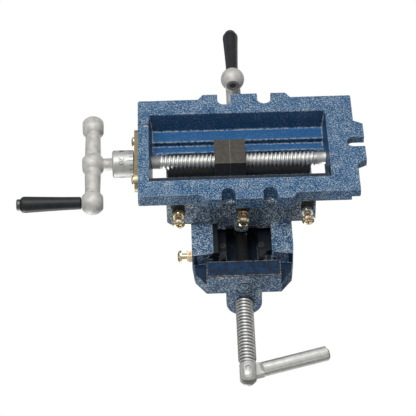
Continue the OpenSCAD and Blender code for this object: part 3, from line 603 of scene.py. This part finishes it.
def soften(node, width, angle=30):
    """Rounds a CAD node's edges with live modifiers; its own mesh keeps its vertices as imported."""
    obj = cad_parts[node]
    weld = obj.modifiers.new("Join faces", "WELD")
    weld.merge_threshold = SAME_PLACE
    flat = obj.modifiers.new("Clean flats", "DECIMATE")
    flat.decimate_type = "DISSOLVE"
    flat.angle_limit = math.radians(0.5)
    bevel = obj.modifiers.new("Soft edges", "BEVEL")
    bevel.width = width
    bevel.segments = 2
    bevel.limit_method = "ANGLE"
    bevel.angle_limit = math.radians(angle)
    even = obj.modifiers.new("Even shading", "WEIGHTED_NORMAL")
    even.keep_sharp = True
    obj.data.polygons.foreach_set("use_smooth", [True] * len(obj.data.polygons))


# Shapes


def cad_slice(node, axis, low, high):
    """Closed piece of a CAD node between two places along an axis."""
    bm = bmesh.new()
    bm.from_mesh(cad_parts[node].data)
    bmesh.ops.remove_doubles(bm, verts=bm.verts, dist=SAME_PLACE)
    for place, side in ((low, -1), (high, 1)):
        if place is None:
            continue
        point, normal = Vector((0, 0, 0)), Vector((0, 0, 0))
        point[axis], normal[axis] = place, side
        trim(bm, point, normal)
    return bm


def trim(bm, point, normal):
    """Cuts away what lies past a plane and caps the cut."""
    cut = bmesh.ops.bisect_plane(
        bm,
        geom=[*bm.verts, *bm.edges, *bm.faces],
        dist=ON_PLANE,
        plane_co=point,
        plane_no=normal,
        clear_outer=True,
    )
    rim = [e for e in cut["geom_cut"] if isinstance(e, bmesh.types.BMEdge) and e.is_boundary]
    if rim:
        bmesh.ops.contextual_create(bm, geom=rim)


def thread(start, end, radius, pitch, depth):
    """Closed right-hand thread along X from start to end, with its crests at radius.

    Root and flank are shares of the pitch. The thread is made longer than asked, and both ends are cut off.
    """
    root, flank, lead_in, steps, seam = 0.3, 0.2, 1.5, 48, 2e-6
    bm = bmesh.new()
    turns = math.ceil((end - start) / pitch) + 2
    tooth = ((0, depth), (root, depth), (root + flank, 0), (2 * root + flank, 0))
    points = [
        bm.verts.new((start + (k - lead_in + part) * pitch, 0, radius - inset))
        for k in range(turns + 1)
        for part, inset in tooth
    ]
    edges = [bm.edges.new(pair) for pair in zip(points, points[1:])]
    bmesh.ops.spin(
        bm,
        geom=[*points, *edges],
        cent=(0, 0, 0),
        axis=(-1, 0, 0),
        dvec=(pitch / steps, 0, 0),
        angle=FULL_TURN,
        steps=steps,
    )
    bmesh.ops.remove_doubles(bm, verts=bm.verts, dist=seam)
    trim(bm, Vector((start, 0, 0)), Vector((-1, 0, 0)))
    trim(bm, Vector((end, 0, 0)), Vector((1, 0, 0)))
    return bm


def joined(*parts):
    """One bmesh from several, which are freed."""
    whole = parts[0]
    for part in parts[1:]:
        mesh = bpy.data.meshes.new("part")
        part.to_mesh(mesh)
        part.free()
        whole.from_mesh(mesh)
        bpy.data.meshes.remove(mesh)
    return whole


def moved(bm, matrix):
    bmesh.ops.transform(bm, matrix=matrix, verts=bm.verts)
    return bm


def along_y(x, z):
    """Turns a shape made along X to lie along Y through x, z."""
    return Matrix.Translation((x, 0, z)) @ Matrix.Rotation(math.radians(90), 4, "Z")


def middle(node, axis):
    low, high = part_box(node)
    return (low[axis] + high[axis]) / 2


# Operators


class VISE_OT_castings(bpy.types.Operator):
    """Enamels the base, saddle, body and movable jaw and softens their edges"""

    bl_idname = "vise.castings"
    bl_label = "Castings"

    def execute(self, context):
        for node, name in (
            ("base_casting", "Enamel with a wet hollow"),
            ("saddle", "Enamel with greasy ways"),
            ("vise_body", "Enamel with worn lug"),
            ("movable_jaw", "Enamel with greasy foot"),
        ):
            dress(node, name)
            soften(node, sizes().edge)
        return {"FINISHED"}


class VISE_OT_plain_steel(bpy.types.Operator):
    """Gives plates, nuts, gibs and small screws their plated, oxided, greased or ground finish"""

    bl_idname = "vise.plain_steel"
    bl_label = "Plates and small screws"

    finishes = {
        "Straw zinc plate": ("bearing_plate",),
        "Yellow zinc plate": ("plate_screws", "gib_screws", "gib_locknuts"),
        "Oxided nut": ("nut",),
        "Black oxide steel": ("nut_bolt", "nut_bolts", "dial_set_screw"),
        "Greased steel": ("gib",),
        "Dark steel": ("grip_spindle",),
        "Bright zinc plate": ("crank_pin",),
    }
    singles = {
        "Black oxide steel": (
            "fixed_plate_screws",
            "movable_plate_screws",
            "keeper_screws",
            "retainer_screws",
        ),
        "Greased steel": ("left_keeper", "right_keeper"),
        "Ground steel": ("fixed_jaw_plate", "movable_jaw_plate"),
        "Bright zinc plate": ("screw_retainer", "handle_pin", "folding_handle"),
    }

    def execute(self, context):
        for name, kinds in self.finishes.items():
            for kind in kinds:
                for side in ("x_", "y_"):
                    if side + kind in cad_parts:
                        self.finish_node(side + kind, name)
        for name, nodes in self.singles.items():
            for node in nodes:
                self.finish_node(node, name)
        return {"FINISHED"}

    def finish_node(self, node, name):
        dress(node, name)
        soften(node, sizes().nut_edge if name == "Oxided nut" else sizes().fine_edge, 35)


class VISE_OT_cranks(bpy.types.Operator):
    """Finishes the two crank arms and their grips"""

    bl_idname = "vise.cranks"
    bl_label = "Cranks and grips"

    def execute(self, context):
        for side in ("x_", "y_"):
            dress(side + "crank_arm", "Tumbled crank iron" if side == "x_" else "Upper crank iron")
            soften(side + "crank_arm", sizes().crank_edge, 25)
            dress(side + "grip", "Moulded black plastic")
            soften(side + "grip", sizes().grip_edge, 15)
        return {"FINISHED"}


class VISE_OT_lead_screws(bpy.types.Operator):
    """Cuts the threads of the two lead screws between their plain ends"""

    bl_idname = "vise.lead_screws"
    bl_label = "Lead screws"

    lower_thread: bpy.props.FloatVectorProperty(
        name="Lower thread",
        description="Both ends of the lower thread along X",
        size=2,
        default=(-67 * MM, 84 * MM),
    )
    upper_thread: bpy.props.FloatVectorProperty(
        name="Upper thread",
        description="Both ends of the upper thread along Y",
        size=2,
        default=(-63 * MM, 45 * MM),
    )
    radius: length_prop("Radius", "Thread radius over the crests", 7 * MM)

    def execute(self, context):
        s = sizes()
        for node, body, axis, ends, plate in (
            ("x_lead_screw", "x_screw", 0, self.lower_thread, "Lower screw zinc"),
            ("y_lead_screw", "y_screw", 1, self.upper_thread, "Upper screw zinc"),
        ):
            cut = thread(ends[0], ends[1], self.radius, s.pitch, s.thread_depth)
            if axis:
                moved(cut, along_y(middle(node, 0), middle(node, 2)))
            else:
                moved(cut, Matrix.Translation((0, 0, middle(node, 2))))
            plain_ends = cad_slice(node, axis, None, ends[0]), cad_slice(node, axis, ends[1], None)
            piece(node + "_cut", joined(cut, *plain_ends), material(plate), body, (node,))
        return {"FINISHED"}


class VISE_OT_vise_screw(bpy.types.Operator):
    """Cuts the thread of the vise screw between its nose and its fork"""

    bl_idname = "vise.vise_screw"
    bl_label = "Vise screw"

    ends: bpy.props.FloatVectorProperty(
        name="Thread ends",
        description="Both ends of the thread along Y",
        size=2,
        default=(-216 * MM, -101.5 * MM),
    )
    slot_end: length_prop("Slot end", "Where the fork slot ends along Y", -209 * MM)
    slot_half: length_prop("Half slot", "Half height of the fork slot", 3.5 * MM)
    depth: length_prop("Depth", "Depth of the vise screw thread", 1.5 * MM)

    def execute(self, context):
        low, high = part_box("vise_screw")
        radius = (high.x - low.x) / 2
        axis_z = middle("vise_screw", 2)
        start, end = self.ends
        parts = [cad_slice("vise_screw", 1, None, start), cad_slice("vise_screw", 1, end, None)]
        # the thread runs out on the two fork tines, above and below the slot
        for side in (-1, 0, 1):
            cut = thread(start, end, radius, sizes().pitch, self.depth)
            moved(cut, along_y(middle("vise_screw", 0), axis_z))
            if side:
                trim(cut, Vector((0, self.slot_end, 0)), Vector((0, 1, 0)))
                trim(cut, Vector((0, 0, axis_z + side * self.slot_half)), Vector((0, 0, -side)))
            else:
                trim(cut, Vector((0, self.slot_end, 0)), Vector((0, -1, 0)))
            parts.append(cut)
        plate = material("Vise screw zinc")
        piece("vise_screw_cut", joined(*parts), plate, "vise_screw", ("vise_screw",))
        return {"FINISHED"}


class VISE_OT_dials(bpy.types.Operator):
    """Plates the dials and prints their marks and numbers"""

    bl_idname = "vise.dials"
    bl_label = "Dials"

    marks_per_number, number_step = 5, 10
    mark_width: length_prop("Mark width", "Width of one dial mark", 0.65 * MM)
    mark_length: length_prop("Mark length", "Length of a short dial mark", 3.5 * MM)
    long_mark: length_prop("Long mark", "Length of a dial mark that has a number", 6.5 * MM)
    mark_gap: length_prop("Mark gap", "How far the marks start from the plate side of the dial", 0.7 * MM)
    number_foot: length_prop("Number foot", "How far the foot of a number lies from that side", 14.5 * MM)
    mark_raise: length_prop("Mark height", "How far the ink stands on the dial", 0.03 * MM)
    number_size: length_prop("Number size", "Height of the dial numbers", 7.8 * MM)
    number_weight: length_prop("Number weight", "How much the number strokes are thickened", 0.04 * MM)
    first_turn: bpy.props.FloatProperty(
        name="First turn",
        description="Where zero lies round the dial",
        default=math.radians(-34.3),
        subtype="ANGLE",
    )

    def execute(self, context):
        for side in ("x_", "y_"):
            dress(side + "dial", "Turned zinc on " + side[0].upper())
            soften(side + "dial", sizes().fine_edge, 25)
            low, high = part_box(side + "dial")
            along = 0 if side == "x_" else 1
            radius = (high.z - low.z) / 2
            marks = self.marks(low[along], radius)
            if along:
                moved(marks, along_y(middle("y_dial", 0), middle("y_dial", 2)))
            else:
                moved(marks, Matrix.Translation((0, 0, middle("x_dial", 2))))
            piece(side + "dial_marks", marks, material("Dial ink"), side + "screw")
        return {"FINISHED"}

    def marks(self, start, radius):
        """Marks and numbers around X, from the plate side of the dial."""
        bm = bmesh.new()
        count = sizes().tick_count
        numbers = count // self.marks_per_number
        for steps, reach in ((count, self.mark_length), (numbers, self.long_mark)):
            first = bmesh.ops.create_cube(bm, size=1)["verts"]
            bmesh.ops.scale(bm, vec=(reach, self.mark_width, 2 * self.mark_raise), verts=first)
            bmesh.ops.translate(bm, vec=(start + self.mark_gap + reach / 2, 0, radius), verts=first)
            faces = list({f for v in first for f in v.link_faces})
            edges = list({e for v in first for e in v.link_edges})
            bmesh.ops.spin(
                bm,
                geom=[*first, *edges, *faces],
                cent=(0, 0, 0),
                axis=(1, 0, 0),
                angle=FULL_TURN * (steps - 1) / steps,
                steps=steps - 1,
                use_duplicate=True,
            )
        for k in range(numbers):
            text, turn = str(self.number_step * k), FULL_TURN * k / numbers
            self.number(bm, text, start + self.number_foot, radius, turn)
        turned = Matrix.Rotation(self.first_turn, 3, "X")
        bmesh.ops.rotate(bm, verts=bm.verts, cent=(0, 0, 0), matrix=turned)
        return bm

    def number(self, bm, text, start, radius, turn):
        """A number lying on the dial, with its foot toward the crank."""
        curve = bpy.data.curves.new("number", "FONT")
        curve.body = text
        curve.size = self.number_size
        curve.align_x = "CENTER"
        curve.extrude = self.mark_raise
        curve.offset = self.number_weight
        obj = bpy.data.objects.new("number", curve)
        bpy.context.scene.collection.objects.link(obj)
        depsgraph = bpy.context.evaluated_depsgraph_get()
        mesh = bpy.data.meshes.new_from_object(obj.evaluated_get(depsgraph))
        known = set(bm.verts)
        bm.from_mesh(mesh)
        fresh = [v for v in bm.verts if v not in known]
        for v in fresh:
            around = v.co.x / radius
            out = radius + v.co.z
            v.co = (start - v.co.y, out * math.sin(around), out * math.cos(around))
        bmesh.ops.rotate(bm, verts=fresh, cent=(0, 0, 0), matrix=Matrix.Rotation(turn, 3, "X"))
        bpy.data.objects.remove(obj)
        bpy.data.curves.remove(curve)
        bpy.data.meshes.remove(mesh)


class VISE_OT_studio(bpy.types.Operator):
    """Sets the camera, lamps, white surroundings, floor and grey bands"""

    bl_idname = "vise.studio"
    bl_label = "Studio"

    tilt: bpy.props.FloatProperty(
        name="Tilt", description="Camera angle below the base", default=math.radians(42.71), subtype="ANGLE"
    )
    yaw: bpy.props.FloatProperty(
        name="Yaw", description="Camera turn about the upright", default=math.radians(1.858), subtype="ANGLE"
    )
    roll: bpy.props.FloatProperty(
        name="Roll", description="Camera roll", default=math.radians(-0.455), subtype="ANGLE"
    )
    distance: length_prop("Distance", "Camera distance from the aim point", 1.9077)
    aim_x: length_prop("Aim", "Aim point along X", 8.05 * MM)
    focal_px: bpy.props.FloatProperty(
        name="Focal length", description="Focal length in pixels", default=1951.4
    )
    aim_px: bpy.props.FloatVectorProperty(
        name="Aim pixel",
        description="Where the aim point lies in the picture",
        size=2,
        default=(238.43, 144.74),
    )

    def execute(self, context):
        self.camera(context)
        self.surroundings(context)
        self.floor(context)
        self.horizon(context)
        # the vise is seen from below in the main picture, so lamps stand on both sides of the floor
        for name, place, size, power in (
            ("Under lamp", (0.3, -0.15, -1.35), 0.9, 15.0),
            ("Front lamp", (-0.4, -1.6, -0.5), 0.9, 1.2),
            ("Top lamp", (0.6, -0.6, 1.4), 0.9, 17.0),
            ("Back lamp", (-0.7, 1.2, 0.9), 0.8, 5.0),
        ):
            self.lamp(context, name, Vector(place), size, power)
        context.scene.view_settings.view_transform = "Standard"
        return {"FINISHED"}

    def camera(self, context):
        e, s, c = self.tilt, math.sin(self.yaw), math.cos(self.yaw)
        ahead = Vector((-math.cos(e) * s, math.cos(e) * c, math.sin(e)))
        up = Vector((-math.sin(e) * s, math.sin(e) * c, -math.cos(e)))
        right = ahead.cross(up)
        place = Vector((self.aim_x, 0, 0)) - self.distance * ahead
        right, up = (
            math.cos(self.roll) * right + math.sin(self.roll) * up,
            math.cos(self.roll) * up - math.sin(self.roll) * right,
        )
        centre = IMAGE_PX / 2
        ahead = (
            self.focal_px * ahead + (centre - self.aim_px[0]) * right - (centre - self.aim_px[1]) * up
        ).normalized()
        right = ahead.cross(up).normalized()
        up = right.cross(ahead)
        data = bpy.data.cameras.new("Camera")
        data.lens = data.sensor_width * self.focal_px / IMAGE_PX
        data.clip_start, data.clip_end = 0.01, 20
        camera = bpy.data.objects.new("Camera", data)
        context.scene.collection.objects.link(camera)
        turn = Matrix((right, up, -ahead)).transposed()
        camera.matrix_world = Matrix.Translation(place) @ turn.to_4x4()
        context.scene.camera = camera

    def lamp(self, context, name, place, size, power):
        data = bpy.data.lights.new(name, "AREA")
        data.size, data.energy = size, power
        lamp = bpy.data.objects.new(name, data)
        context.scene.collection.objects.link(lamp)
        aim = Vector((0, -0.02, 0.04))
        lamp.location = place
        lamp.rotation_euler = (aim - place).to_track_quat("-Z", "Y").to_euler()

    def surroundings(self, context):
        world = bpy.data.worlds.new("White surroundings")
        world.use_nodes = True
        context.scene.world = world
        tree = world.node_tree
        tree.nodes.clear()
        rays = add_node(tree, "ShaderNodeLightPath").node.outputs
        mirrored = add_node(
            tree, MATH, {0: rays["Is Glossy Ray"], 1: rays["Is Transmission Ray"]}, operation="MAXIMUM"
        )
        seen = add_node(tree, MATH, {0: rays["Is Camera Ray"], 1: mirrored}, operation="MAXIMUM")
        backdrop, plain_white, light_strength = "ShaderNodeBackground", (1, 1, 1, 1), 0.2
        light = add_node(tree, backdrop, {"Color": plain_white, "Strength": light_strength})
        white = add_node(tree, backdrop, {"Color": plain_white, "Strength": 1.0})
        mix = add_node(tree, "ShaderNodeMixShader", {0: seen, 1: light, 2: white})
        output = tree.nodes.new("ShaderNodeOutputWorld")
        tree.links.new(mix, output.inputs["Surface"])

    def floor(self, context):
        """Pale floor that fades out far off, and shows from above only so as not to hide the underside."""
        half_width, drop, fade_start, fade_end = 3, 0.2 * MM, 0.35, 1.3
        bm = bmesh.new()
        bmesh.ops.create_grid(bm, x_segments=1, y_segments=1, size=half_width)
        mesh = bpy.data.meshes.new("Floor")
        bm.to_mesh(mesh)
        bm.free()
        floor = bpy.data.objects.new("Floor", mesh)
        context.scene.collection.objects.link(floor)
        floor.location.z = -drop
        material, tree, _, place = new_material("Pale floor", Roughness=0.9, Base_Color=hex_rgba("F4F4F4"))
        rays = add_node(tree, "ShaderNodeLightPath", out="Is Camera Ray")
        side = add_node(tree, GEOMETRY, out="Backfacing")
        above = add_node(tree, MATH, {0: rays, 1: side}, operation="SUBTRACT", use_clamp=True)
        far = add_node(tree, "ShaderNodeVectorMath", {0: place}, out="Value", operation="LENGTH")
        near = add_node(tree, RANGE, {"Value": far, "From Min": fade_end, "From Max": fade_start})
        above = add_node(tree, MATH, {0: above, 1: near}, operation="MULTIPLY")
        clear = add_node(tree, "ShaderNodeBsdfTransparent")
        pale = tree.nodes["Principled BSDF"].outputs[0]
        mix = add_node(tree, "ShaderNodeMixShader", {0: above, 1: clear, 2: pale})
        tree.links.new(mix, tree.nodes["Material Output"].inputs["Surface"])
        mesh.materials.append(material)

    def horizon(self, context):
        """Grey bands round the studio that only reflections see; they give the metal its dark streaks."""
        reach, steps, front = 2.2, 48, -90
        bm = bmesh.new()
        # lower and upper edge of a band and its gap at the front, all in degrees; the gap keeps the faces of
        # nuts and screw heads bright
        for low, high, gap in ((-28, -11, 0), (11, 28, 0), (34, 56, 60)):
            begin = math.radians(front + gap / 2)
            foot = (reach * math.cos(begin), reach * math.sin(begin))
            ends = [bm.verts.new((*foot, reach * math.tan(math.radians(a)))) for a in (low, high)]
            bmesh.ops.spin(
                bm,
                geom=[*ends, bm.edges.new(ends)],
                cent=(0, 0, 0),
                axis=(0, 0, 1),
                angle=FULL_TURN - math.radians(gap),
                steps=steps,
                use_merge=not gap,
            )
        mesh = bpy.data.meshes.new("Horizon")
        bm.to_mesh(mesh)
        bm.free()
        bands = bpy.data.objects.new("Horizon", mesh)
        context.scene.collection.objects.link(bands)
        bands.visible_camera = bands.visible_diffuse = bands.visible_shadow = False
        material, _, _, _ = new_material("Grey flag", Roughness=1.0, Base_Color=hex_rgba("3A3A3C"))
        mesh.materials.append(material)


OPERATORS = (
    VISE_OT_castings,
    VISE_OT_plain_steel,
    VISE_OT_cranks,
    VISE_OT_lead_screws,
    VISE_OT_vise_screw,
    VISE_OT_dials,
    VISE_OT_studio,
)


class VISE_PT_panel(bpy.types.Panel):
    """Lists the steps that dress the vise"""

    bl_idname = "VISE_PT_panel"
    bl_label = "Cross slide vise"
    bl_space_type = "VIEW_3D"
    bl_region_type = "UI"
    bl_category = "Vise"

    def draw(self, context):
        for operator in OPERATORS:
            self.layout.operator(operator.bl_idname)
        for group in (context.scene.vise_sizes, context.scene.vise_finish):
            for name in group.__annotations__:
                self.layout.prop(group, name)


CLASSES = (ViseFinish, ViseSizes, *OPERATORS, VISE_PT_panel)


def register():
    for cls in CLASSES:
        bpy.utils.register_class(cls)
    bpy.types.Scene.vise_finish = bpy.props.PointerProperty(type=ViseFinish)
    bpy.types.Scene.vise_sizes = bpy.props.PointerProperty(type=ViseSizes)


def unregister():
    del bpy.types.Scene.vise_sizes
    del bpy.types.Scene.vise_finish
    for cls in reversed(CLASSES):
        bpy.utils.unregister_class(cls)


def main():
    register()
    bpy.ops.vise.castings()
    bpy.ops.vise.plain_steel()
    bpy.ops.vise.cranks()
    bpy.ops.vise.lead_screws()
    bpy.ops.vise.vise_screw()
    bpy.ops.vise.dials()
    bpy.ops.vise.studio()


if __name__ == "__main__":
    main()
